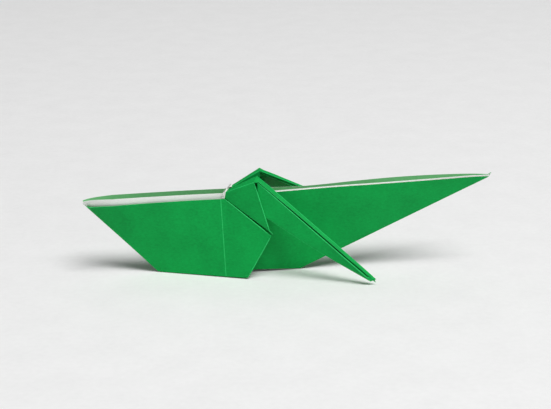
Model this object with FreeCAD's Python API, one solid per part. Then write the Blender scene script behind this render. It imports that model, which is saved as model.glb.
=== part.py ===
"""Folded paper grasshopper: one square of paper, folded, with a long boat-shaped body, a flared
front sleeve and two jumping legs that rise from under the sleeve's slanting back edge.

Millimetres, +X towards the tail, -Y towards the near leg, +Z up. The nose is the low-X end.
The body rests on its front skirt and on the belly's back corner, at z = 0.
"""
import FreeCAD, Part
import math
import os

from FreeCAD import Vector

# Paper
paper_side = 150.0        # the square's side, which is the raw top line from nose to tail tip
ply = 0.1                 # one layer of paper
wall = 2 * ply            # every wall is two plies pressed together
mitre_limit = 4.0         # a sharp fold reaches at most this many half walls past its crease

# Body, seen from the side
nose_height = 27.3        # the foot of the blunt nose above the table
top_start = 28.9          # height that the straight raw top line would have at the nose
top_rise = 2.73           # degrees that the raw top line climbs towards the tail
nose_dip = 0.8            # the raw top line ends this much lower at the nose
nose_dip_length = 2.5     # and bends down over about this length
tail_dip = 0.7            # the same at the tail
tail_dip_length = 5.0
sag = 0.9                 # the raw top line sags this much beside the legs' roots
sag_place = 75.0
sag_length = 25.0
nose_angle = 48.0         # degrees between the top line and the folded nose keel
tail_angle = 23.55        # degrees between the top line and the folded tail keel
tail_depth = 0.3          # the walls are still this tall where the tail's plies end
hook_length = 1.5         # the tail tip curls up over this length
hook_height = 1.1

# Body, seen from above
trough = 5.6              # widest opening between the raw top edges
nose_width = 2.0          # the opening at the nose
nose_flare = 10.5         # it has opened fully this far behind the nose, at a slight bend
tail_width = 0.5          # the opening at the tail
tail_flare = 36.0         # it closes towards the tail over this length
waist_pinch = 2.7         # how much the legs' roots narrow the opening
waist_place = 84.0
waist_length = 17.5
belly_half_width = 3.0    # half the distance between the two bottom folds
belly_lift = 1.1          # how far the bottom folds rise between their two corners
rest_trim = 0.05          # the edges that it stands on are pressed flat by this much

# Front sleeve
raw_step = 2.7            # the sleeve's raw edge lies this far below the inner ply's
shoulder_step = 1.65      # and this far at the shoulder
sleeve_start = 1.3        # the sleeve's raw edge starts this far behind the nose
start_lap = 0.5           # and covers this much of the nose keel there
sleeve_top = 51.4         # the shoulder, from the nose
shoulder_half_width = 4.4
crease_foot = 51.7        # foot of the upright crease, from the nose
crease_half_width = 7.3
skirt_end = 59.6          # the skirt's back corner, from the nose
skirt_half_width = 9.8
elbow_place = 68.0        # the pointed corner where the slanting edge meets the skirt's back edge
elbow_height = 16.9
sleeve_bite = 0.05        # the sleeve's nose is pressed this far onto the inner ply

# Thighs
root_place = 53.0         # where the thigh's ridge leaves the body, from the nose
root_out = 2.5
root_height = 32.4
root_fold_back = 1.0      # the outer fold starts nearer the nose than the ridge
root_fold_out = 1.7       # it lies this much further out
root_fold_drop = 0.6      # and this much lower
knee_place = 63.3
knee_out = 5.1
knee_height = 38.0
knee_fold_back = 1.3      # the same fold at the knee
knee_fold_out = 3.0
knee_fold_drop = 1.5
thigh_inset = 0.3         # the thigh passes this far inside the sleeve's slanting edge
root_tuck = 15.0          # how far the hidden root reaches down inside the sleeve
thigh_spread = 2.2        # gap from the thigh's outer layer to its inner one

# Shins
lip_out = 2.3             # the outer lip at the knee, out from the knee's top
lip_drop = 1.8            # and below it
shin_place = 63.4         # top of the shin's lower fold, hidden inside the thigh
shin_out = 8.8
shin_height = 25.5
shin_bow = 0.75           # how far the shin's lower fold bows out of straight
foot_place = 105.6        # the foot's tip, where the inner lip ends
foot_out = 18.3
foot_height = 2.15
foot_fold_back = 2.0      # the lower fold ends this far short of the tip
foot_fold_drop = 0.6
foot_lip_back = 3.7       # and the outer lip this far short of it
foot_lip_out = 0.7
foot_lip_lift = 1.25
foot_close = 0.35         # past there the trough closes to this much of its width at the tip

# Far leg, held higher and further back than the near one
far_leg_roll = 27.5       # degrees that it is raised outwards about its root
far_leg_shift = 1.3       # how much nearer it is to the tail
far_leg_drop = 0.8        # its root and knee lie this much lower
far_fold_shift = 1.4      # its outer fold and lip are shifted this much more at the thigh
far_flank_roll = 10.0     # degrees that the shin's top is opened further
far_thigh_bulge = 4.0     # the thigh's outer layer puffs out this far over the shin's top
bulge_share = 0.6         # the puffed place, as a share of the way up to the knee's fold

# Smoothness of the bent walls
body_steps = 22
sleeve_steps = 5
shin_steps = 6

# Places that follow from the sizes above
rise = math.radians(top_rise)
tail_x = paper_side * math.cos(rise)
tail_z = top_start + paper_side * math.sin(rise) - tail_dip - tail_depth
nose_slope = math.tan(math.radians(nose_angle) - rise)
tail_slope = math.tan(math.radians(tail_angle) + rise)
belly_level = mitre_limit * wall / 2 - 2 * rest_trim
front_corner = (nose_height - belly_level) / nose_slope
back_corner = tail_x - (tail_z - belly_level) / tail_slope
hidden_corner = (nose_height - tail_z + tail_x * tail_slope) / (nose_slope + tail_slope)
ridge_height = hidden_corner * nose_slope - nose_height + 2 * belly_level


def tip_curl(x):
    """How far the tail tip's hook lifts the sheet at x."""
    return hook_height * max(0.0, (x - tail_x + hook_length) / hook_length) ** 2


def top_line(x):
    """Height of the raw top edges: dips at both ends, the sag and the curl at the tail tip."""
    dip = nose_dip * math.exp(-x / nose_dip_length)
    dip += tail_dip * math.exp((x - tail_x) / tail_dip_length)
    dip += sag * math.exp(-((x - sag_place) / sag_length) ** 2)
    return top_start + x * math.tan(rise) - dip + tip_curl(x)


def keel_line(x):
    """Height of the folded bottom line."""
    if x < front_corner:
        return nose_height - x * nose_slope
    if x > back_corner:
        return tail_z - (tail_x - x) * tail_slope + tip_curl(x)
    return belly_level


def trough_half(x):
    """Half the opening between the raw top edges."""
    open_nose = min(1.0, max(x, 0.0) / nose_flare)
    open_tail = 1 - (1 - min(1.0, max(tail_x - x, 0.0) / tail_flare)) ** 2
    width = trough - (trough - nose_width) * (1 - open_nose)
    width -= (trough - tail_width) * (1 - open_tail)
    return (width - waist_pinch * math.exp(-((x - waist_place) / waist_length) ** 2)) / 2


def offset_directions(points, triangles):
    """For each point, the vector that shifts every face around it by one unit along its normal."""
    gathered = [[] for _ in points]
    for corners in triangles:
        a, b, c = (points[i] for i in corners)
        normal = (b - a).cross(c - a)
        normal.normalize()
        for i in corners:
            if all((normal - other).Length > 0.02 for other in gathered[i]):
                gathered[i].append(normal)
    directions = []
    for normals in gathered:
        total = Vector(0, 0, 0)
        for normal in normals:
            total += normal
        m = FreeCAD.Matrix()
        spread = 0.01
        m.A11 = spread + sum(n.x * n.x for n in normals)
        m.A22 = spread + sum(n.y * n.y for n in normals)
        m.A33 = spread + sum(n.z * n.z for n in normals)
        m.A12 = m.A21 = sum(n.x * n.y for n in normals)
        m.A13 = m.A31 = sum(n.x * n.z for n in normals)
        m.A23 = m.A32 = sum(n.y * n.z for n in normals)
        direction = m.inverse().multVec(total)
        if direction.Length > mitre_limit:
            direction = direction * (mitre_limit / direction.Length)
        directions.append(direction)
    return directions


def sheet_solid(rows, thickness):
    """A folded sheet as a solid: rows of points on its middle surface, thickened both ways."""
    points = []
    table = []
    for row in rows:
        line = []
        for point in row:
            same = [i for i, other in enumerate(points) if (other - point).Length < 1e-6]
            if same:
                line.append(same[0])
            else:
                line.append(len(points))
                points.append(point)
        table.append(line)
    triangles = []
    for low, high in zip(table, table[1:]):
        for a, b, d, c in zip(low, low[1:], high, high[1:]):
            if (points[a] - points[c]).Length <= (points[b] - points[d]).Length:
                halves = ((a, b, c), (a, c, d))
            else:
                halves = ((a, b, d), (b, c, d))
            triangles += [half for half in halves if len(set(half)) == 3]
    directions = offset_directions(points, triangles)
    outer = [p + d * (thickness / 2) for p, d in zip(points, directions)]
    inner = [p - d * (thickness / 2) for p, d in zip(points, directions)]
    corners = []
    used = {}
    for a, b, c in triangles:
        corners.append((outer[a], outer[b], outer[c]))
        corners.append((inner[c], inner[b], inner[a]))
        for edge in ((a, b), (b, c), (c, a)):
            used[edge] = True
    for a, b in used:
        if (b, a) not in used:
            corners.append((outer[b], outer[a], inner[a]))
            corners.append((outer[b], inner[a], inner[b]))
    faces = [Part.Face(Part.makePolygon([a, b, c, a])) for a, b, c in corners]
    shell = Part.makeShell(faces)
    shell.sewShape()
    solid = Part.makeSolid(shell)
    if solid.Volume < 0:
        solid.reverse()
    return solid


def body():
    """Both body walls, joined along the nose and tail keels, with the belly corner folded up."""
    stations = {0.0, nose_dip_length, nose_flare, front_corner, hidden_corner, back_corner,
                tail_x - hook_length, tail_x - hook_length / 2, tail_x}
    for i in range(1, body_steps):
        place = tail_x * i / body_steps
        if all(abs(place - fixed) > tail_x / body_steps / 3 for fixed in stations):
            stations.add(place)
    rows = []
    for x in sorted(stations):
        low = keel_line(x)
        bulge = 0.0
        ridge = low
        if front_corner < x < back_corner:
            bulge = math.sin(math.pi * (x - front_corner) / (back_corner - front_corner))
            rising = (x - front_corner) / (hidden_corner - front_corner)
            falling = (back_corner - x) / (back_corner - hidden_corner)
            ridge = low + (ridge_height - low) * min(rising, falling)
        half = trough_half(x)
        fold = Vector(x, -belly_half_width * bulge, low + belly_lift * bulge)
        rows.append([Vector(x, -half, top_line(x)), fold, Vector(x, 0, ridge),
                     Vector(x, -fold.y, fold.z), Vector(x, half, top_line(x))])
    return sheet_solid(rows, wall)


def sleeve_corners():
    """The near sleeve's named corners: shoulder, crease foot, skirt corner and elbow."""
    shoulder = Vector(sleeve_top, -shoulder_half_width, top_line(sleeve_top) - shoulder_step)
    foot = Vector(crease_foot, -crease_half_width, 0)
    skirt = Vector(skirt_end, -skirt_half_width, 0)
    normal = (foot - shoulder).cross(skirt - shoulder)
    flat = normal.x * (elbow_place - shoulder.x) + normal.z * (elbow_height - shoulder.z)
    elbow = Vector(elbow_place, shoulder.y - flat / normal.y, elbow_height)
    return shoulder, foot, skirt, elbow


def sleeve():
    """The near half of the sleeve, from the nose keel to the elbow."""
    shoulder, foot, skirt, elbow = sleeve_corners()
    outward = wall - sleeve_bite
    front = Vector(front_corner, 0, keel_line(front_corner))
    rows = []
    for i in range(sleeve_steps):
        share = i / sleeve_steps
        x = sleeve_start + (sleeve_top - sleeve_start) * share
        close = trough_half(x) + outward
        opening = close + (shoulder_half_width - trough_half(sleeve_top) - outward) * share ** 2
        step = raw_step + (shoulder_step - raw_step) * share
        step = min(step, top_line(x) - keel_line(x) - start_lap)
        upper = Vector(x, -opening, top_line(x) - step)
        keel_x = sleeve_start + (front_corner - sleeve_start) * min(1.0, 2 * share)
        lower = Vector(keel_x, 0, keel_line(keel_x))
        if share > 0.5:
            lower = front + (foot - front) * (2 * share - 1)
        rows.append([upper, lower])
    rows.append([shoulder, foot])
    rows.append([elbow, skirt])
    return sheet_solid(rows, wall)


def raised(points, far, shift=0.0, roll=0.0):
    """Points of a near leg; for the far one, turned up about the root, shifted and lowered."""
    if not far:
        return points
    turn = math.radians(far_leg_roll + roll)
    turned = []
    for point in points:
        out = -point.y - root_out
        up = point.z - root_height
        turned.append(Vector(point.x + far_leg_shift + shift,
                             -root_out - out * math.cos(turn) + up * math.sin(turn),
                             root_height - far_leg_drop + out * math.sin(turn)
                             + up * math.cos(turn)))
    return turned


def knee_top():
    """The top of the near knee."""
    return Vector(knee_place, -knee_out, knee_height)


def thigh(far):
    """A thigh: hidden root, outer face, top band and inner face, over the shin's top."""
    shoulder, foot, skirt, elbow = sleeve_corners()
    inward = (foot - shoulder).cross(skirt - shoulder)
    inward.normalize()
    if inward.y < 0:
        inward = inward * -1
    press = inward * (wall - sleeve_bite)
    inset = shoulder + inward * (wall + thigh_inset)
    tuck = shoulder + (foot - shoulder) * (root_tuck / (foot - shoulder).Length)
    ridge = Vector(root_place, -root_out, root_height)
    fold = ridge + Vector(-root_fold_back, -root_fold_out, -root_fold_drop)
    fold, = raised([fold], far, far_fold_shift)
    inside = Vector(root_place, -root_out + thigh_spread / 2, shoulder.z - thigh_spread)
    middle = inset + (fold - inset) * bulge_share
    root = [tuck + press, inset, middle, fold] + raised([ridge], far) + [inside]
    knee = knee_top()
    knee_fold = knee + Vector(-knee_fold_back, -knee_fold_out, -knee_fold_drop)
    knee_fold, = raised([knee_fold], far, far_fold_shift)
    bulge = Vector(0, -far_thigh_bulge, 0) if far else Vector(0, 0, 0)
    puffed = elbow + (knee_fold - elbow) * bulge_share + bulge
    hidden = elbow + Vector(-thigh_spread, thigh_spread, thigh_spread)
    bend = [elbow + press, elbow + press, puffed, knee_fold] + raised([knee], far) + [hidden]
    return sheet_solid([root, bend], wall)


def shin(far):
    """A shin: a narrow trough, open upwards, from inside the thigh to the foot."""
    knee = knee_top()
    lip, = raised([knee + Vector(0, -lip_out, -lip_drop)], far, far_fold_shift)
    flank, = raised([Vector(shin_place, -shin_out, shin_height)], far, 0.0, far_flank_roll)
    start = [lip, flank] + raised([knee], far)
    tip = Vector(foot_place, -foot_out, foot_height)
    end = [tip + Vector(-foot_lip_back, -foot_lip_out, foot_lip_lift),
           tip + Vector(-foot_fold_back, -foot_lip_out / 2, -foot_fold_drop), tip]
    end = raised(end, far)
    rows = []
    for i in range(shin_steps + 1):
        share = i / shin_steps
        row = [a + (b - a) * share for a, b in zip(start, end)]
        row[1] = row[1] - Vector(0, 0, shin_bow * math.sin(math.pi * share))
        rows.append(row)
    closed = [end[2] + (point - end[2]) * foot_close for point in end]
    rows[-1][2] = rows[-2][2] + (end[2] - rows[-2][2]) * (1 - foot_close)
    rows.append(closed)
    return sheet_solid(rows, wall)


def far_side(solid):
    """The same solid on the far side of the body."""
    return solid.mirror(Vector(0, 0, 0), Vector(0, 1, 0))


def grasshopper():
    """All the folded walls as the one sheet that they are, standing on the table."""
    near = [sleeve(), thigh(False), shin(False)]
    far = [far_side(solid) for solid in (sleeve(), thigh(True), shin(True))]
    whole = body().fuse(near + far)
    table = Part.makeBox(2 * paper_side, 2 * paper_side, paper_side,
                         Vector(-paper_side / 2, -paper_side, rest_trim - paper_side))
    whole = whole.cut(table)
    box = whole.BoundBox
    whole.translate(Vector(-box.Center.x, -box.Center.y, -box.ZMin))
    return whole


os.makedirs("parts", exist_ok=True)
folded_paper = grasshopper()
folded_paper.exportStep("parts/folded_paper.step")
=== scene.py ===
"""Folded paper grasshopper: the dressed sheet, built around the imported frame.

One square of origami paper, green on one side and white on the other. The body's walls are two
plies with the paper's own thickness, so the white side shows between their raw edges. The sleeve
and the legs are pairs of plies that are pressed together. All sizes are metres in the frame's
own axes: +X to the tail, -Y to the near leg, +Z up.
"""
import math

import bmesh
import bpy
from bpy.props import FloatProperty, PointerProperty, StringProperty
from mathutils import Matrix, Vector


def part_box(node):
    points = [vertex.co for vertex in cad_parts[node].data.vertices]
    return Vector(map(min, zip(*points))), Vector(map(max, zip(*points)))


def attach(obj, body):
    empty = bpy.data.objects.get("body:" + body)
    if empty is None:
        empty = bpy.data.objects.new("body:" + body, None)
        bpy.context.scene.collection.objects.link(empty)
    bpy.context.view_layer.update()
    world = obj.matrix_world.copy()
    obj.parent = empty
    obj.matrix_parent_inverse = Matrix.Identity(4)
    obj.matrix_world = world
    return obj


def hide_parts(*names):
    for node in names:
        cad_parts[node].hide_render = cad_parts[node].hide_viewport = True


bl_info = {
    "name": "Paper Grasshopper",
    "version": (1, 0, 0),
    "blender": (4, 5, 0),
    "location": "View3D > Sidebar > Grasshopper",
    "description": "Folds a grasshopper from one square of two-coloured paper",
    "category": "Add Mesh",
}

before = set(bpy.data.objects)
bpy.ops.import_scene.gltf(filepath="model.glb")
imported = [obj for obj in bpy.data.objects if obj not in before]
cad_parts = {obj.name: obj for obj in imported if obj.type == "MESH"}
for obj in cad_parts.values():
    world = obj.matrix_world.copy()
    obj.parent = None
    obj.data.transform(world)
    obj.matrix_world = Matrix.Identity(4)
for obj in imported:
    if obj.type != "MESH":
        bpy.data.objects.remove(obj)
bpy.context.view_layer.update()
NODE_LOW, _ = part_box("folded_paper")
MM = 0.001

# The solid reaches this far past the sheet's end at the nose, and this far out from the middle
# plane on the near side.
NOSE_PAST = 0.16 * MM
NEAR_REACH = 19.10 * MM
NOSE_X = NODE_LOW[0] + NOSE_PAST
MIDDLE_Y = NODE_LOW[1] + NEAR_REACH

# Material slots, in the order in which every piece has them. The third is a lighter green, a
# painted highlight along folds, beads and pressed plies' rims; the fourth is a paler green,
# painted light shining through a single ply
GREEN, WHITE, FOLD_HIGHLIGHT, THROUGH_GLOW = range(4)

# Grain sizes of the paper. Real fibres are about 0.02 mm wide: they are drawn coarser, to show.
FIBRE = 0.8 * MM
STRAND = 1.1 * MM
STRAND_SQUEEZE = 3.2
CLOUD = 9 * MM
TOOTH_DEPTH = 0.03 * MM
WAVE_SIZE = 28 * MM

# A bead's radius at its ends, and how fast it swells to its full radius from either end
BEAD_END = 0.25
BEAD_SWELL = 8
BEAD_TAPER = 5

# Points closer than this are one point
SAME_POINT = 0.002 * MM


def length(name, description, millimetres):
    """A length property whose default is given in millimetres."""
    return FloatProperty(name=name, description=description, default=millimetres * MM,
                         subtype="DISTANCE", unit="LENGTH", precision=5)


def degrees(name, description, value):
    """An angle property whose default is given in degrees."""
    return FloatProperty(name=name, description=description, default=math.radians(value),
                         subtype="ANGLE", unit="ROTATION")


def shade(name, description, value):
    """A colour property, kept as an sRGB hex value."""
    return StringProperty(name=name, description=description, default=value)


class PaperSettings(bpy.types.PropertyGroup):
    """The sheet itself."""
    side: length("Paper side", "Side of the square, which is the raw top line", 150)
    ply: length("Ply", "Thickness of one layer of paper", 0.1)
    ripple: length("Ripple", "Depth of the slight waves left by handling", 0.45)
    # The line along a fold is a painted highlight: a strip of lighter green
    crease_highlight_width: length("Crease width", "Width of the stretched line along a fold", 0.26)
    torn: length("Torn edge", "How far the torn white edge at the legs' roots stands out", 1.05)
    bead: length("Fold bead", "Radius of the rounded bead along a folded edge", 0.2)
    body_fold: length("Body fold", "Width of the rounding along the body's folds", 0.16)
    thigh_fold: length("Thigh fold", "Width of the rounding along the thighs' folds", 0.3)
    shin_fold: length("Shin fold", "Width of the rounding along the shins' folds", 0.2)
    green: shade("Coloured side", "Printed green side of the sheet", "0AA048")
    # The crease colour is a painted highlight: the lighter green that a fold's rounded edge shows
    # in the light
    crease: shade("Crease", "Green where the fold has stretched the print", "2CC468")
    white: shade("White side", "Unprinted side and raw edges", "F8FAF6")
    # The single-ply colour is painted light: a paler green for light shining through the one ply
    # inside the body's trough
    thin: shade("Single ply", "The print where one ply lets light through", "74C080")


class BodySettings(bpy.types.PropertyGroup):
    """The long boat-shaped body."""
    nose_height: length("Nose height", "Height of the nose tip", 27.3)
    top_start: length("Top start", "Height the straight raw top line has at the nose", 28.9)
    top_rise: degrees("Top rise", "Climb of the raw top line towards the tail", 2.73)
    nose_dip: length("Nose dip", "The raw top line ends this much lower at the nose", 0.8)
    nose_dip_length: length("Nose dip length", "It bends down over about this length", 2.5)
    tail_dip: length("Tail dip", "The raw top line ends this much lower at the tail", 0.7)
    tail_dip_length: length("Tail dip length", "It bends down over about this length", 5.0)
    sag: length("Sag", "The raw top line sags this much beside the legs' roots", 0.9)
    sag_place: length("Sag place", "Middle of the sag, from the nose", 75)
    sag_length: length("Sag length", "Half length of the sag", 25)
    nose_angle: degrees("Nose angle", "Between the top line and the nose keel", 48.0)
    tail_angle: degrees("Tail angle", "Between the top line and the tail keel", 23.55)
    tail_depth: length("Tail depth", "The walls' height where the tail's plies end", 0.3)
    hook_length: length("Hook length", "The tail tip curls over this length", 1.5)
    hook_height: length("Hook height", "How far the tail tip curls up", 1.1)
    trough: length("Trough", "Widest opening between the raw top edges", 5.6)
    nose_width: length("Nose width", "The opening at the nose", 2.0)
    nose_flare: length("Nose flare", "It has opened fully this far behind the nose", 10.5)
    tail_width: length("Tail width", "The opening at the tail", 0.5)
    tail_flare: length("Tail flare", "It closes towards the tail over this length", 36)
    waist_pinch: length("Waist pinch", "How much the leg roots narrow the trough", 2.7)
    waist_place: length("Waist place", "Middle of the pinch, from the nose", 84)
    waist_length: length("Waist length", "Half length of the pinch", 17.5)
    belly_level: length("Belly level", "Height of the bottom folds' middle surface", 0.25)
    belly_half: length("Belly half width", "Half the distance between the bottom folds", 3.0)
    belly_lift: length("Belly lift", "Rise of the bottom folds between their corners", 1.1)
    raw_step_tail: length("Tail step", "White band between the raw plies of the tail", 0.45)
    lining_start: length("Lining start", "The outer ply starts here, under the sleeve", 20)
    lining_end: length("Lining end", "It stays down this far past the shoulder", 4)
    lining_drop: length("Lining drop", "There it ends this far below the sleeve's edge", 1.5)


class SleeveSettings(bpy.types.PropertyGroup):
    """The flared front sleeve."""
    raw_step: length("Nose step", "White band above the sleeve at the nose", 2.7)
    shoulder_step: length("Shoulder step", "White band above the sleeve at the shoulder", 1.65)
    crease_top: length("Crease top", "Upper end of the upright crease, from the nose", 50.1)
    start: length("Start", "The raw edge starts this far behind the nose", 1.3)
    start_lap: length("Start lap", "It covers this much of the nose keel there", 0.5)
    top: length("Top length", "Shoulder, from the nose", 51.4)
    shoulder_half: length("Shoulder half width", "Half width at the shoulder", 4.4)
    crease_foot: length("Crease foot", "Foot of the upright crease, from the nose", 51.7)
    crease_half: length("Crease half width", "Half width at the crease's foot", 7.3)
    skirt_end: length("Skirt end", "Back corner of the skirt, from the nose", 59.6)
    skirt_half: length("Skirt half width", "Half width at the skirt's back corner", 9.8)
    foot_clear: length("Foot clearance", "The crease's foot stands off the table", 0.4)
    skirt_clear: length("Skirt clearance", "The skirt's corner stands off the table", 0.65)
    elbow: length("Elbow place", "The slanting edge's pointed corner, from the nose", 68.0)
    elbow_height: length("Elbow height", "Height of that corner", 16.9)


class LegSettings(bpy.types.PropertyGroup):
    """The pair of bent legs."""
    root: length("Root place", "Where the thigh's ridge leaves the body", 53.0)
    root_out: length("Root out", "Ridge root, out from the middle", 2.5)
    root_height: length("Root height", "Ridge root, above the table", 32.4)
    root_fold_back: length("Root fold back", "Outer fold at the root, towards the nose", 1.0)
    root_fold_out: length("Root fold out", "Outer fold at the root, out from the ridge", 1.7)
    root_fold_drop: length("Root fold drop", "Outer fold at the root, below the ridge", 0.6)
    knee: length("Knee place", "Top of the knee, from the nose", 63.3)
    knee_out: length("Knee out", "Top of the knee, out from the middle", 5.1)
    knee_height: length("Knee height", "Top of the knee, above the table", 38.0)
    knee_fold_back: length("Knee fold back", "Outer fold at the knee, towards the nose", 1.3)
    knee_fold_out: length("Knee fold out", "Outer fold at the knee, out from the ridge", 3.0)
    knee_fold_drop: length("Knee fold drop", "Outer fold at the knee, below the ridge", 1.5)
    inset: length("Thigh inset", "The thigh passes this far inside the sleeve's edge", 0.3)
    pocket: length("Pocket", "The thigh curls in this far behind the sleeve's corner", 2.8)
    curl_share: FloatProperty(name="Curl share", description="Height of that curl",
                              default=0.1, min=0, max=1)
    tuck: length("Root tuck", "The hidden root reaches down this far", 15)
    spread: length("Thigh spread", "From the thigh's outer layer to its inner one", 2.2)
    lip_out: length("Lip out", "Outer lip at the knee, out from the knee's top", 2.3)
    lip_drop: length("Lip drop", "Outer lip at the knee, below the knee's top", 1.8)
    shin: length("Shin place", "Hidden top of the shin's lower fold, from the nose", 63.4)
    shin_out: length("Shin out", "The same, out from the middle", 8.8)
    shin_height: length("Shin height", "The same, above the table", 25.5)
    bow: length("Shin bow", "How far the shin's lower fold bows down", 0.75)
    foot: length("Foot place", "Foot tip, from the nose", 105.6)
    foot_out: length("Foot out", "Foot tip, out from the middle", 18.3)
    foot_height: length("Foot height", "Foot tip, above the table", 2.15)
    foot_fold_back: length("Foot fold back", "The lower fold ends this far short", 2.0)
    foot_fold_drop: length("Foot fold drop", "The lower fold's end, below the tip", 0.6)
    foot_lip_back: length("Foot lip back", "The outer lip ends this far short", 3.7)
    foot_lip_out: length("Foot lip out", "The outer lip's end, out from the tip", 0.7)
    foot_lip_lift: length("Foot lip lift", "The outer lip's end, above the tip", 1.25)
    foot_start: FloatProperty(name="Foot start", description="The trough's taper starts here",
                              default=5 / 6, min=0, max=1)
    foot_close: FloatProperty(name="Foot close", description="Share of its width left at the tip",
                              default=0.35, min=0, max=1)
    groove: length("Groove", "Gap beside the shin's rolled top at the knee", 0.6)
    groove_foot: length("Groove at the foot", "The same gap where the foot tapers", 1.7)
    groove_depth: length("Groove depth", "How far the rolled top turns under", 1.2)
    far_roll: degrees("Far leg roll", "The far leg is raised outwards this much", 27.5)
    far_shift: length("Far leg shift", "How much nearer the far leg is to the tail", 1.3)
    far_drop: length("Far leg drop", "How much lower the far leg's root lies", 0.8)
    far_fold_shift: length("Far fold shift", "The far leg's outer fold is shifted more", 1.4)
    far_flank_roll: degrees("Far flank roll", "The far shin's top is opened further", 10)
    far_bulge: length("Far thigh bulge", "The far thigh's outer layer puffs out", 4.0)
    bulge_share: FloatProperty(name="Bulge share", description="Place of the puff",
                               default=0.6, min=0, max=1)


class StageSettings(bpy.types.PropertyGroup):
    """Floor, lamps and camera."""
    elevation: degrees("Elevation", "Camera above the horizon", 18)
    yaw: degrees("Yaw", "Camera turned round towards the nose", 3.52)
    lens: FloatProperty(name="Lens", description="Focal length", default=100, unit="CAMERA")
    view_width: length("View width", "Width of the photograph at the object", 202.29)
    target_x: length("Target along", "Middle of the view, from the nose", 70.29)
    target_height: length("Target height", "Middle of the view, above the table", 25.38)
    floor: shade("Floor", "Pale table", "EDEDED")
    world: shade("Surround", "Pale room", "F2F2F2")
    key_power: FloatProperty(name="Key power", description="Front lamp", default=97.0)
    back_power: FloatProperty(name="Back power", description="High lamp behind", default=2.8)
    low_front_power: FloatProperty(name="Low front power", description="Low lamp", default=1.6)
    world_strength: FloatProperty(name="Surround strength", description="Room light",
                                  default=0.08)


def settings():
    """The property groups of the scene that is open."""
    s = bpy.context.scene
    return s.gh_paper, s.gh_body, s.gh_sleeve, s.gh_leg, s.gh_stage


def linear(hex_value):
    """A linear RGBA colour from an sRGB hex value."""
    channels = [int(hex_value[i:i + 2], 16) / 255 for i in (0, 2, 4)]
    out = [c / 12.92 if c <= 0.04045 else ((c + 0.055) / 1.055) ** 2.4 for c in channels]
    return (*out, 1.0)


def node(tree, kind, inputs=(), **facts):
    """Adds one shader node, sets its facts, and links or sets its inputs."""
    made = tree.nodes.new(kind)
    for key, value in facts.items():
        setattr(made, key, value)
    for socket, value in dict(inputs).items():
        if isinstance(value, bpy.types.NodeSocket):
            tree.links.new(value, made.inputs[socket])
        else:
            made.inputs[socket].default_value = value
    return made


def paper_material(name, hex_value, mottle, roughness):
    """Uncoated kami paper: matt, with a fibre tooth and cloudy pulp density."""
    material = bpy.data.materials.new(name)
    material.use_nodes = True
    tree = material.node_tree
    tree.nodes.clear()
    place = node(tree, "ShaderNodeTexCoord").outputs["Object"]
    fibre = node(tree, "ShaderNodeTexNoise",
                 {"Vector": place, "Scale": 1 / FIBRE, "Detail": 4.0, "Roughness": 0.65})
    stretched = node(tree, "ShaderNodeMapping",
                     {"Vector": place, "Scale": (1.0, 1.0, STRAND_SQUEEZE)})
    strands = node(tree, "ShaderNodeTexNoise",
                   {"Vector": stretched.outputs["Vector"], "Scale": 1 / STRAND, "Detail": 3.0})
    cloud = node(tree, "ShaderNodeTexNoise", {"Vector": place, "Scale": 1 / CLOUD, "Detail": 3.0})
    tooth = node(tree, "ShaderNodeMath", {0: fibre.outputs["Fac"], 1: strands.outputs["Fac"]},
                 operation="ADD")
    both = node(tree, "ShaderNodeMath", {0: tooth.outputs[0], 1: cloud.outputs["Fac"]},
                operation="ADD")
    spread = node(tree, "ShaderNodeMapRange",
                  {"Value": both.outputs[0], "From Min": 1.1, "From Max": 1.9,
                   "To Min": 1 - mottle, "To Max": 1 + mottle})
    colour = node(tree, "ShaderNodeHueSaturation",
                  {"Color": linear(hex_value), "Value": spread.outputs["Result"]})
    bump = node(tree, "ShaderNodeBump",
                {"Height": tooth.outputs[0], "Strength": 0.35, "Distance": TOOTH_DEPTH})
    surface = node(tree, "ShaderNodeBsdfPrincipled",
                   {"Base Color": colour.outputs["Color"], "Roughness": roughness,
                    "Normal": bump.outputs["Normal"], "Specular IOR Level": 0.12})
    node(tree, "ShaderNodeOutputMaterial", {"Surface": surface.outputs["BSDF"]})
    return material


def paper_materials():
    """Coloured side, white side, the lighter green of the painted highlight along folds, and the
    paler green of painted light through a single ply, made once.
    """
    paper = settings()[0]
    table = (("green_paper_coloured_side", paper.green, 0.17, 0.62),
             ("green_paper_white_side", paper.white, 0.05, 0.75),
             ("green_paper_crease", paper.crease, 0.15, 0.55),
             ("green_paper_single_ply", paper.thin, 0.12, 0.62))
    return [bpy.data.materials.get(row[0]) or paper_material(*row) for row in table]


def deselect():
    """Leaves nothing selected."""
    if bpy.context.object and bpy.context.object.mode != "OBJECT":
        bpy.ops.object.mode_set(mode="OBJECT")
    bpy.ops.object.select_all(action="DESELECT")


def activate(piece):
    """Selects one piece alone."""
    deselect()
    piece.select_set(True)
    bpy.context.view_layer.objects.active = piece


def keep_modifier(piece, kind, **facts):
    """Adds a modifier with its settings and applies it."""
    activate(piece)
    made = piece.modifiers.new(kind.title(), kind)
    for key, value in facts.items():
        setattr(made, key, value)
    bpy.ops.object.modifier_apply(modifier=made.name)


def fold_grid(name, rows):
    """A grid primitive whose crossings are moved to the folded sheet's places."""
    deselect()
    across = len(rows[0])
    bpy.ops.mesh.primitive_grid_add(x_subdivisions=across - 1, y_subdivisions=len(rows) - 1,
                                    size=1.0)
    piece = bpy.context.object
    piece.name = piece.data.name = name
    bpy.ops.object.mode_set(mode="EDIT")
    mesh = bmesh.from_edit_mesh(piece.data)
    for v in mesh.verts:
        column = round((v.co.x + 0.5) * (across - 1))
        row = round((v.co.y + 0.5) * (len(rows) - 1))
        v.co = rows[row][column]
    bmesh.update_edit_mesh(piece.data)
    bpy.ops.mesh.select_all(action="SELECT")
    bpy.ops.mesh.remove_doubles(threshold=SAME_POINT)
    bpy.ops.mesh.dissolve_degenerate(threshold=SAME_POINT)
    bpy.ops.object.mode_set(mode="OBJECT")
    for material in paper_materials():
        piece.data.materials.append(material)
    return piece


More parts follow.
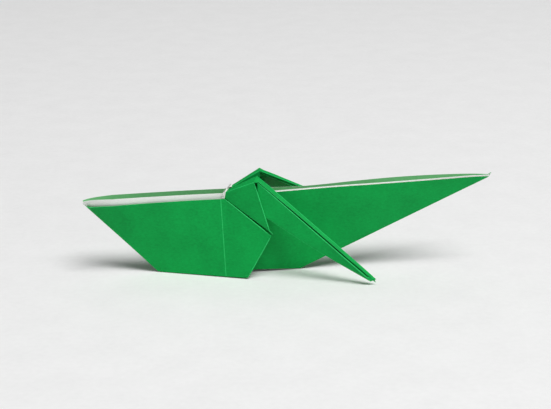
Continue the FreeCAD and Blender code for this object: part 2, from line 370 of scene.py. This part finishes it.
def soften_folds(piece, width, sharpness=30):
    """Rounds every fold and paints the rounding a lighter green, a painted highlight along the
    fold.
    """
    activate(piece)
    bpy.ops.object.mode_set(mode="EDIT")
    bpy.ops.mesh.select_mode(type="EDGE")
    bpy.ops.mesh.select_all(action="DESELECT")
    bpy.ops.mesh.edges_select_sharp(sharpness=math.radians(sharpness))
    bpy.ops.mesh.bevel(offset=width, segments=3, affect="EDGES", clamp_overlap=True,
                       material=FOLD_HIGHLIGHT)
    bpy.ops.object.mode_set(mode="OBJECT")


def ripple(piece, depth):
    """Slight waves, the same for plies that lie together."""
    texture = bpy.data.textures.get("paper_waves")
    if texture is None:
        texture = bpy.data.textures.new("paper_waves", "CLOUDS")
        texture.noise_scale = WAVE_SIZE
        texture.noise_depth = 1
    keep_modifier(piece, "DISPLACE", texture=texture, direction="Y", strength=depth,
                  mid_level=0.5, texture_coords="LOCAL")


def thicken(piece, thickness, back=WHITE, rim=WHITE):
    """Gives the folded surface its paper thickness, half to each side."""
    keep_modifier(piece, "SOLIDIFY", thickness=thickness, offset=0.0, use_rim=True,
                  use_quality_normals=True, material_offset=back, material_offset_rim=rim)


def finish(piece, angle=40):
    """Waves and smooth shading, then hides the frame's paper part and hangs the piece on the
    frame's root body.
    """
    ripple(piece, settings()[0].ripple)
    activate(piece)
    bpy.ops.object.shade_smooth_by_angle(angle=math.radians(angle))
    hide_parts("folded_paper")
    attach(piece, "root")


def add_bead(piece, line, radius, slot=FOLD_HIGHLIGHT, sides=10):
    """Joins a rounded bead, thin at both ends, to a piece along one of its folded edges; unless
    another slot is given, the bead is painted the lighter green of a highlight.
    """
    rows = []
    for index, point in enumerate(line):
        ahead = line[min(index + 1, len(line) - 1)] - line[max(index - 1, 0)]
        side = ahead.cross(Vector((0, 0, 1))).normalized()
        up = side.cross(ahead).normalized()
        share = index / (len(line) - 1)
        size = radius * min(1.0, BEAD_END + BEAD_SWELL * share,
                            BEAD_END + BEAD_TAPER * (1 - share))
        ring = [math.tau * i / sides for i in range(sides + 1)]
        rows.append([point + size * (math.cos(a) * side + math.sin(a) * up) for a in ring])
    bead = fold_grid(piece.name + "_bead", rows)
    for face in bead.data.polygons:
        face.material_index = slot
    piece.select_set(True)
    bpy.context.view_layer.objects.active = piece
    bpy.ops.object.join()
    return piece


def paint(piece, slot, test):
    """Gives the faces that pass the test another side of the paper."""
    for face in piece.data.polygons:
        if test(face):
            face.material_index = slot


def steps(count, start=0.0, end=1.0):
    """Evenly spaced shares."""
    return [start + (end - start) * i / count for i in range(count + 1)]


def mix(a, b, share):
    """The value or point a share of the way from a to b."""
    return a + (b - a) * share


def between(points, counts):
    """A section line through its corners, with each run cut into its count of equal parts."""
    line = [points[0]]
    for a, b, count in zip(points, points[1:], counts):
        line += [mix(a, b, share) for share in steps(count)[1:]]
    return line


class Outline:
    """The body's side outline and plan width, from the settings."""

    def __init__(self):
        self.paper, self.body, self.sleeve, self.leg, _ = settings()
        self.end_x = self.paper.side * math.cos(self.body.top_rise)
        self.end_z = self.body.top_start + self.paper.side * math.sin(self.body.top_rise)
        self.end_z -= self.body.tail_dip + self.body.tail_depth
        self.nose_slope = math.tan(self.body.nose_angle - self.body.top_rise)
        self.tail_slope = math.tan(self.body.tail_angle + self.body.top_rise)
        level = self.body.belly_level
        self.front = (self.body.nose_height - level) / self.nose_slope
        self.back = self.end_x - (self.end_z - level) / self.tail_slope
        self.hidden = (self.body.nose_height - self.end_z + self.end_x * self.tail_slope)
        self.hidden /= self.nose_slope + self.tail_slope
        self.ridge = self.hidden * self.nose_slope - self.body.nose_height + 2 * level

    def curl(self, x):
        """Share of the tail tip's hook at x."""
        reach = self.body.hook_length
        return max(0.0, (x - self.end_x + reach) / reach) ** 2

    def top(self, x):
        """Height of the raw top edges, with the dips at both ends and the tail's curl."""
        body = self.body
        dip = body.nose_dip * math.exp(-x / body.nose_dip_length)
        dip += body.tail_dip * math.exp((x - self.end_x) / body.tail_dip_length)
        dip += body.sag * math.exp(-((x - body.sag_place) / body.sag_length) ** 2)
        rising = x * math.tan(body.top_rise) + body.hook_height * self.curl(x)
        return body.top_start + rising - dip

    def keel(self, x):
        """Height of the folded bottom line."""
        if x < self.front:
            return self.body.nose_height - x * self.nose_slope
        if x > self.back:
            low = self.end_z - (self.end_x - x) * self.tail_slope
            return low + self.body.hook_height * self.curl(x)
        return self.body.belly_level

    def half(self, x):
        """Half the opening between the raw top edges."""
        body = self.body
        open_nose = min(1.0, max(x, 0.0) / body.nose_flare)
        open_tail = 1 - (1 - min(1.0, max(self.end_x - x, 0.0) / body.tail_flare)) ** 2
        width = body.trough - (body.trough - body.nose_width) * (1 - open_nose)
        width -= (body.trough - body.tail_width) * (1 - open_tail)
        off = (x - body.waist_place) / body.waist_length
        return (width - body.waist_pinch * math.exp(-off * off)) / 2

    def place(self, x, y, z):
        """A point in the frame, from a place measured from the nose."""
        return Vector((NOSE_X + x, MIDDLE_Y + y, z))

    def section(self, x, outward, top_drop):
        """Corners of the body's W section: top, fold, ridge, fold, top."""
        low = self.keel(x)
        swell = 0.0
        ridge = low
        if self.front < x < self.back:
            swell = math.sin(math.pi * (x - self.front) / (self.back - self.front))
            rising = (x - self.front) / (self.hidden - self.front)
            falling = (self.back - x) / (self.back - self.hidden)
            ridge = low + (self.ridge - low) * min(rising, falling)
        half = self.half(x) + outward
        fold_y = self.body.belly_half * swell + outward
        fold_z = low + self.body.belly_lift * swell
        top_z = self.top(x) - top_drop
        return [self.place(x, -half, top_z), self.place(x, -fold_y, fold_z),
                self.place(x, 0, ridge), self.place(x, fold_y, fold_z),
                self.place(x, half, top_z)]

    def sleeve_corners(self):
        """Shoulder, crease foot, skirt corner and elbow of the near sleeve."""
        s = self.sleeve
        shoulder = self.place(s.top, -s.shoulder_half, self.top(s.top) - s.shoulder_step)
        foot = self.place(s.crease_foot, -s.crease_half, s.foot_clear)
        skirt = self.place(s.skirt_end, -s.skirt_half, s.skirt_clear)
        normal = (foot - shoulder).cross(skirt - shoulder)
        elbow = self.place(s.elbow, 0, s.elbow_height)
        flat = normal.x * (elbow.x - shoulder.x) + normal.z * (elbow.z - shoulder.z)
        elbow.y = shoulder.y - flat / normal.y
        return shoulder, foot, skirt, elbow


def turned(rows):
    """The same rows read the other way, so that their faces point to the other side."""
    return [row[::-1] for row in rows]


def mirrored(rows, far):
    """Rows for the far side: mirrored, and turned so that faces still point outwards."""
    if not far:
        return rows
    return turned([[Vector((p.x, 2 * MIDDLE_Y - p.y, p.z)) for p in row] for row in rows])


class GH_OT_body(bpy.types.Operator):
    """Folds the two plies of the long body"""
    bl_idname = "grasshopper.body"
    bl_label = "Body Plies"
    places_along = 100
    places_on_hook = 6
    counts = (10, 6, 6, 10)
    # A ply's middle lies this many plies from the wall's middle
    ply_offset = 0.55
    # The outer ply's raw edge lies at most this share of the wall's height below the inner one's
    most_lift = 0.6
    # Radius of the bead on the tail's hook, in fold beads, and its places before the hook
    hook_bead = 1.4
    before_hook = 3

    def rows(self, shape, places, outer):
        """One ply's rows from nose to tail."""
        body, sleeve = shape.body, shape.sleeve
        outward = self.ply_offset * shape.paper.ply * (1 if outer else -1)
        rows = []
        for x in places:
            lift = body.raw_step_tail if outer else 0.0
            if outer and x < sleeve.top + body.lining_end:
                lift = sleeve.raw_step + body.lining_drop
            lift = min(lift, self.most_lift * (shape.top(x) - shape.keel(x)))
            rows.append(between(shape.section(x, outward, lift), self.counts))
        return rows

    def execute(self, context):
        shape = Outline()
        paper, body = shape.paper, shape.body
        hook = shape.end_x - body.hook_length
        on_hook = steps(self.places_on_hook, hook, shape.end_x)
        places = sorted({*steps(self.places_along, 0, hook), *on_hook,
                         shape.front, shape.hidden, shape.back, body.nose_flare})
        lined = [x for x in places if x >= body.lining_start]
        for name, rows in (("body_outer_ply", self.rows(shape, lined, True)),
                           ("body_inner_ply", turned(self.rows(shape, places, False)))):
            piece = fold_grid(name, rows)
            soften_folds(piece, paper.body_fold, sharpness=40)
            thicken(piece, paper.ply)
            # A rounded fold's face, painted with the highlight green, has its back and rim in the
            # slot after the highlight's: both are white
            paint(piece, WHITE, lambda face: face.material_index > FOLD_HIGHLIGHT)
            if name == "body_inner_ply":
                # The green inside of the trough is painted paler: painted light shining through
                # the thin ply
                paint(piece, THROUGH_GLOW, lambda face: face.material_index == GREEN)
                beaded = self.before_hook + len(on_hook)
                tip = [shape.place(x, 0, shape.top(x) - body.tail_depth / 2)
                       for x in places[-beaded:]]
                add_bead(piece, tip, self.hook_bead * paper.bead, GREEN)
            finish(piece, angle=30)
        return {"FINISHED"}


class GH_OT_sleeves(bpy.types.Operator):
    """Folds the near and far halves of the flared sleeve"""
    bl_idname = "grasshopper.sleeves"
    bl_label = "Sleeves"
    # Rows across the panel and the flap, and parts from the raw edge down
    panel = 36
    flap = 12
    down = 10
    # The sleeve lies this many plies outside the body's wall, and this share of that at the keel
    plies_out = 2
    keel_share = 0.3
    # The flap's first row ends this share of the way to the skirt's corner
    flap_start = 0.1
    # Faces whose middle is this near to the crease, in crease widths, are painted the lighter
    # green of a highlight along it
    crease_reach = 0.75

    def rows(self, shape):
        """The near sleeve's rows, from the nose to the elbow."""
        paper, sleeve = shape.paper, shape.sleeve
        shoulder, foot, skirt, elbow = shape.sleeve_corners()
        outward = self.plies_out * paper.ply
        start = sleeve.start
        front = shape.place(shape.front, 0, shape.body.belly_level)
        close_end = shape.half(sleeve.top) + outward
        rows = []
        for x in steps(self.panel, start, sleeve.crease_top):
            share = (x - start) / (sleeve.top - start)
            flare = (sleeve.shoulder_half - close_end) * share ** 2
            drop = mix(sleeve.raw_step, sleeve.shoulder_step, share)
            drop = min(drop, shape.top(x) - shape.keel(x) - sleeve.start_lap)
            upper = shape.place(x, -(shape.half(x) + outward + flare), shape.top(x) - drop)
            run = 2 * (x - start) / (sleeve.crease_top - start)
            keel_x = mix(start, shape.front, min(1.0, run))
            lower = shape.place(keel_x, -outward * self.keel_share, shape.keel(keel_x))
            if run > 1:
                lower = mix(front, foot, run - 1)
            rows.append((upper, lower))
        strip = paper.crease_highlight_width / 2
        crease = rows.pop()
        rows.append(tuple(mix(b, a, strip / (a - b).length) for a, b in zip(rows[-1], crease)))
        rows.append(crease)
        beside = mix(foot, skirt, strip / (skirt - foot).length)
        rows.append((mix(crease[0], shoulder, strip / (shoulder - crease[0]).length), beside))
        for share in steps(self.flap):
            along = mix(self.flap_start, 1, share)
            rows.append((mix(shoulder, elbow, share), mix(beside, skirt, along)))
        return [[mix(upper, lower, s) for s in steps(self.down)] for upper, lower in rows]

    def execute(self, context):
        shape = Outline()
        paper = shape.paper
        reach = self.crease_reach * paper.crease_highlight_width
        for name, far in (("sleeve_near", False), ("sleeve_far", True)):
            rows = mirrored(self.rows(shape), far)
            # Behind the crease's row come the strip's row and the flap's
            crease = rows[-(self.flap + 1) - 2]
            along = (crease[-1] - crease[0]).normalized()
            piece = fold_grid(name, rows)
            # Both faces are green; the rims are painted the lighter green of a highlight
            thicken(piece, 2 * paper.ply, back=GREEN, rim=FOLD_HIGHLIGHT)
            paint(piece, FOLD_HIGHLIGHT, lambda f: (f.center - crease[0]).cross(along).length < reach)
            upper = -1 if far else 0
            add_bead(piece, [row[upper] for row in rows[-self.flap - 1:]], paper.bead)
            finish(add_bead(piece, rows[-1], paper.bead))
        return {"FINISHED"}


class GH_OT_legs(bpy.types.Operator):
    """Folds the near and far legs, each a thigh and a shin"""
    bl_idname = "grasshopper.legs"
    bl_label = "Legs"
    # Rows along a thigh, a shin, its closing tip and a knee
    thigh_rows_along = 12
    shin_rows_along = 36
    tip_rows = 4
    knee_rows = 5
    # Parts of a thigh's section: hidden root, curl, lower and upper face, top band, inner face
    thigh_counts = (3, 3, 5, 4, 4, 6)
    # Parts of a shin's section: outer wall, inner wall, rolled top and its turned-under edge
    shin_counts = (6, 6, 5, 3)
    # The hidden root lies this many plies inside the sleeve's middle
    press_plies = 1.6
    # Shares of the width between a shin's lips: widest groove, crown of the rolled top, and how
    # far its edge turns back under
    widest_groove = 0.5
    crown_share = 0.1
    under_share = 0.4
    # Crumbs for each part of the torn edge, and steps that make no two alike
    crumbs = 4
    jag_step = 0.618
    lift_step = 0.414
    # A crumb's reach and lift, as shares of the torn edge's size, and its middle's own offset
    crumb_reach = (0.35, 1.0)
    crumb_lift = (-0.1, 0.5)
    crumb_bend = Vector((0, -0.3, 0.2))

    def raised(self, shape, point, far, shift=0.0, roll=0.0):
        """A near leg's point; for the far leg, turned up about the root, shifted and lowered."""
        if not far:
            return point
        leg = shape.leg
        pivot = shape.place(point.x - NOSE_X, -leg.root_out, leg.root_height)
        swung = Matrix.Rotation(-leg.far_roll - roll, 3, "X") @ (point - pivot)
        return pivot + swung + Vector((leg.far_shift + shift, 0, -leg.far_drop))

    def thigh_rows(self, shape, far):
        """Hidden root, outer face, rounded top band, ridge and inner face."""
        leg = shape.leg
        ply = shape.paper.ply
        shoulder, foot, skirt, elbow = shape.sleeve_corners()
        inward = (foot - shoulder).cross(skirt - shoulder).normalized()
        if inward.y < 0:
            inward = -inward
        inset = shoulder + inward * (2 * ply + leg.inset)
        press = inward * (self.press_plies * ply)
        tuck = mix(shoulder, foot, leg.tuck / (foot - shoulder).length)
        ridge = shape.place(leg.root, -leg.root_out, leg.root_height)
        fold = ridge + Vector((-leg.root_fold_back, -leg.root_fold_out, -leg.root_fold_drop))
        inside = shape.place(leg.root, -leg.root_out + leg.spread / 2, shoulder.z - leg.spread)
        knee = shape.place(leg.knee, -leg.knee_out, leg.knee_height)
        knee_fold = knee + Vector((-leg.knee_fold_back, -leg.knee_fold_out,
                                   -leg.knee_fold_drop))
        fold = self.raised(shape, fold, far, leg.far_fold_shift)
        knee_fold = self.raised(shape, knee_fold, far, leg.far_fold_shift)
        hidden = elbow + Vector((-leg.spread, leg.spread, leg.spread))
        bulge = Vector((0, -leg.far_bulge if far else 0, 0))
        start = [tuck + press, inset, mix(inset, fold, leg.curl_share),
                 mix(inset, fold, leg.bulge_share), fold, self.raised(shape, ridge, far), inside]
        deep = elbow + inward * leg.pocket
        end = [deep, deep, mix(elbow, knee_fold, leg.curl_share) + bulge * leg.curl_share,
               mix(elbow, knee_fold, leg.bulge_share) + bulge,
               knee_fold, self.raised(shape, knee, far), hidden]
        rows = []
        for share in steps(self.thigh_rows_along):
            corners = [mix(a, b, share) for a, b in zip(start, end)]
            rows.append(between(corners, self.thigh_counts))
        return rows

    def shin_line(self, leg, near, low, back, share):
        """One section of the shin: outer lip, lower fold, inner lip and rolled top."""
        outer, inner, top, edge = (steps(count) for count in self.shin_counts)
        across = near - back
        groove = mix(leg.groove, leg.groove_foot, share) / across.length
        turn = mix(back, near, 1 - min(groove, self.widest_groove))
        crown = Vector((0, 0, self.crown_share * across.length))
        under = Vector((0, 0, -min(leg.groove_depth, across.length)))
        under -= across * self.under_share
        line = [mix(near, low, s) for s in outer] + [mix(low, back, s) for s in inner][1:]
        line += [mix(back, turn, s) + crown * math.sin(math.pi * s) for s in top][1:]
        return line + [turn + under * s for s in edge][1:]

    def shin_rows(self, shape, far):
        """Outer lip, lower fold and inner lip, from the knee to the foot."""
        leg = shape.leg
        knee = shape.place(leg.knee, -leg.knee_out, leg.knee_height)
        lip = knee + Vector((0, -leg.lip_out, -leg.lip_drop))
        flank = shape.place(leg.shin, -leg.shin_out, leg.shin_height)
        start = [self.raised(shape, lip, far, leg.far_fold_shift),
                 self.raised(shape, flank, far, 0, leg.far_flank_roll),
                 self.raised(shape, knee, far)]
        tip = shape.place(leg.foot, -leg.foot_out, leg.foot_height)
        end = [tip + Vector((-leg.foot_lip_back, -leg.foot_lip_out, leg.foot_lip_lift)),
               tip + Vector((-leg.foot_fold_back, -leg.foot_lip_out / 2, -leg.foot_fold_drop)),
               tip]
        end = [self.raised(shape, p, far) for p in end]
        rows = []
        for share in steps(self.shin_rows_along):
            ahead = min(share, leg.foot_start)
            ahead += (share - ahead) * (1 - leg.foot_close)
            bow = Vector((0, 0, -leg.bow * math.sin(math.pi * share)))
            rows.append([mix(start[0], end[0], share), mix(start[1], end[1], share) + bow,
                         mix(start[2], end[2], ahead)])
        closed = [mix(end[2], p, leg.foot_close) for p in end]
        last = rows[-1]
        for share in steps(self.tip_rows)[1:]:
            rows.append([mix(a, b, share) for a, b in zip(last, closed)])
        return [self.shin_line(leg, *row, i / (len(rows) - 1)) for i, row in enumerate(rows)]

    def knee_cap(self, shape, side, band, lip):
        """The sheet that runs over the knee, from the thigh's top band to the shin's lip."""
        rows = [[mix(p, mix(lip, band[-1], i / (len(band) - 1)), share)
                 for i, p in enumerate(band)] for share in steps(self.knee_rows)]
        piece = fold_grid("knee_" + side, turned(rows) if side == "far" else rows)
        # The rims are painted the lighter green of a highlight
        thicken(piece, 2 * shape.paper.ply, back=GREEN, rim=FOLD_HIGHLIGHT)
        finish(piece)

    def torn_edge(self, shape, side, line):
        """The white raw edge that has torn into crumbs where a thigh leaves the body."""
        line = line[self.thigh_counts[0]:sum(self.thigh_counts[:5]) + 1]
        rows = []
        for index in range(self.crumbs * (len(line) - 1)):
            part, crumb = divmod(index, self.crumbs)
            point = mix(line[part], line[part + 1], crumb / self.crumbs)
            lift = index * self.lift_step % 1
            out = Vector((-mix(*self.crumb_reach, index * self.jag_step % 1), 0,
                          mix(*self.crumb_lift, lift))) * shape.paper.torn
            bend = self.crumb_bend * (out.length * lift)
            rows.append([point, point + out * 0.5 + bend, point + out])
        piece = fold_grid("torn_edge_" + side, rows)
        thicken(piece, shape.paper.ply, rim=WHITE)
        paint(piece, WHITE, lambda face: True)
        finish(piece, angle=20)

    def execute(self, context):
        shape = Outline()
        paper = shape.paper
        for side, far in (("near", False), ("far", True)):
            rows = mirrored(self.thigh_rows(shape, far), far)
            outwards = turned(rows) if far else rows
            thigh = fold_grid("thigh_" + side, rows)
            soften_folds(thigh, paper.thigh_fold)
            # The rims are painted the lighter green of a highlight, like the rounded folds
            thicken(thigh, 2 * paper.ply, back=GREEN, rim=FOLD_HIGHLIGHT)
            fold, ridge = sum(self.thigh_counts[:4]), sum(self.thigh_counts[:5])
            end = outwards[-1]
            finish(add_bead(thigh, end[self.thigh_counts[0]:fold + 1], paper.bead))
            self.torn_edge(shape, side, outwards[0])
            rows = mirrored(self.shin_rows(shape, far), far)
            outwards = turned(rows) if far else rows
            self.knee_cap(shape, side, end[fold:ridge + 1], outwards[0][0])
            shin = fold_grid("shin_" + side, rows)
            soften_folds(shin, paper.shin_fold)
            # The rims are painted the lighter green of a highlight, like the rounded folds and
            # the lip beads
            thicken(shin, 2 * paper.ply, back=GREEN, rim=FOLD_HIGHLIGHT)
            for column in (0, sum(self.shin_counts[:2])):
                add_bead(shin, [row[column] for row in outwards], paper.bead)
            finish(shin)
        return {"FINISHED"}


class GH_OT_stage(bpy.types.Operator):
    """Sets up the pale floor, the soft lamps and the camera"""
    bl_idname = "grasshopper.stage"
    bl_label = "Stage"
    floor_size = 6.0
    floor_grain = 2.2 * MM
    floor_blotch = 14 * MM
    # Each lamp's name, place, size and the point that it is aimed at
    lamps = (("key", (0.70, -1.20, 2.70), 1.6, (0, 0, 0.02)),
             ("low_front", (0.9, -1.7, 0.55), 0.8, (0, 0, 0.02)),
             ("back", (0.0, 1.3, 1.3), 1.2, (0, 0.7, 0)))

    def floor(self, stage):
        """A wide pale table with a faint grain and faint blotches."""
        deselect()
        bpy.ops.mesh.primitive_plane_add(size=self.floor_size, location=(0, 0, 0))
        floor = bpy.context.object
        floor.name = "table_floor"
        material = bpy.data.materials.new("pale_table")
        material.use_nodes = True
        tree = material.node_tree
        tree.nodes.clear()
        place = node(tree, "ShaderNodeTexCoord").outputs["Object"]
        grain = node(tree, "ShaderNodeTexNoise",
                     {"Vector": place, "Scale": 1 / self.floor_grain, "Detail": 5.0})
        blotch = node(tree, "ShaderNodeTexNoise",
                      {"Vector": place, "Scale": 1 / self.floor_blotch, "Detail": 4.0})
        both = node(tree, "ShaderNodeMath",
                    {0: grain.outputs["Fac"], 1: blotch.outputs["Fac"]}, operation="ADD")
        value = node(tree, "ShaderNodeMapRange",
                     {"Value": both.outputs[0], "From Min": 0.6, "From Max": 1.4,
                      "To Min": 0.97, "To Max": 1.03})
        colour = node(tree, "ShaderNodeHueSaturation",
                      {"Color": linear(stage.floor), "Value": value.outputs["Result"]})
        surface = node(tree, "ShaderNodeBsdfPrincipled",
                       {"Base Color": colour.outputs["Color"], "Roughness": 0.9,
                        "Specular IOR Level": 0.1})
        node(tree, "ShaderNodeOutputMaterial", {"Surface": surface.outputs["BSDF"]})
        floor.data.materials.append(material)

    def lamp(self, name, place, size, power, aim):
        """One soft square lamp aimed at a point."""
        light = bpy.data.lights.new(name, "AREA")
        light.shape = "SQUARE"
        light.size = size
        light.energy = power
        lamp = bpy.data.objects.new(name, light)
        bpy.context.scene.collection.objects.link(lamp)
        lamp.location = place
        aimed = (Vector(aim) - Vector(place)).to_track_quat("-Z", "Y")
        lamp.rotation_euler = aimed.to_euler()

    def camera(self, stage):
        """The camera, at the photograph's distance and angle."""
        data = bpy.data.cameras.new("view_camera")
        data.lens = stage.lens
        data.sensor_width = 36
        data.clip_start = 0.01
        camera = bpy.data.objects.new("view_camera", data)
        bpy.context.scene.collection.objects.link(camera)
        target = Vector((NOSE_X + stage.target_x, MIDDLE_Y, stage.target_height))
        reach = stage.view_width * data.lens / data.sensor_width
        out = Vector((-math.sin(stage.yaw) * math.cos(stage.elevation),
                      -math.cos(stage.yaw) * math.cos(stage.elevation),
                      math.sin(stage.elevation)))
        camera.location = target + out * reach
        camera.rotation_euler = (-out).to_track_quat("-Z", "Y").to_euler()
        bpy.context.scene.camera = camera

    def execute(self, context):
        stage = settings()[4]
        scene = context.scene
        scene.view_settings.view_transform = "Standard"
        self.floor(stage)
        for name, place, size, aim in self.lamps:
            self.lamp(name, place, size, getattr(stage, name + "_power"), aim)
        world = bpy.data.worlds.new("pale_room")
        world.use_nodes = True
        world.node_tree.nodes.clear()
        background = node(world.node_tree, "ShaderNodeBackground",
                          {"Color": linear(stage.world), "Strength": stage.world_strength})
        node(world.node_tree, "ShaderNodeOutputWorld", {"Surface": background.outputs[0]})
        scene.world = world
        self.camera(stage)
        return {"FINISHED"}


class GH_PT_panel(bpy.types.Panel):
    """Lists the grasshopper's pieces"""
    bl_idname = "GH_PT_panel"
    bl_label = "Paper Grasshopper"
    bl_space_type = "VIEW_3D"
    bl_region_type = "UI"
    bl_category = "Grasshopper"

    def draw(self, context):
        for operator in OPERATORS:
            self.layout.operator(operator.bl_idname)


GROUPS = {"gh_paper": PaperSettings, "gh_body": BodySettings, "gh_sleeve": SleeveSettings,
          "gh_leg": LegSettings, "gh_stage": StageSettings}
OPERATORS = (GH_OT_stage, GH_OT_body, GH_OT_sleeves, GH_OT_legs)


def register():
    """Registers the classes and hangs the settings on the scene."""
    for cls in (*GROUPS.values(), *OPERATORS, GH_PT_panel):
        bpy.utils.register_class(cls)
    for name, group in GROUPS.items():
        setattr(bpy.types.Scene, name, PointerProperty(type=group))


def unregister():
    """Takes the settings and classes away again."""
    for name in GROUPS:
        delattr(bpy.types.Scene, name)
    for cls in (GH_PT_panel, *reversed(OPERATORS), *reversed(list(GROUPS.values()))):
        bpy.utils.unregister_class(cls)


def main():
    """Builds everything in order."""
    register()
    bpy.ops.grasshopper.stage()
    bpy.ops.grasshopper.body()
    bpy.ops.grasshopper.sleeves()
    bpy.ops.grasshopper.legs()
    bpy.context.view_layer.update()


if __name__ == "__main__":
    main()
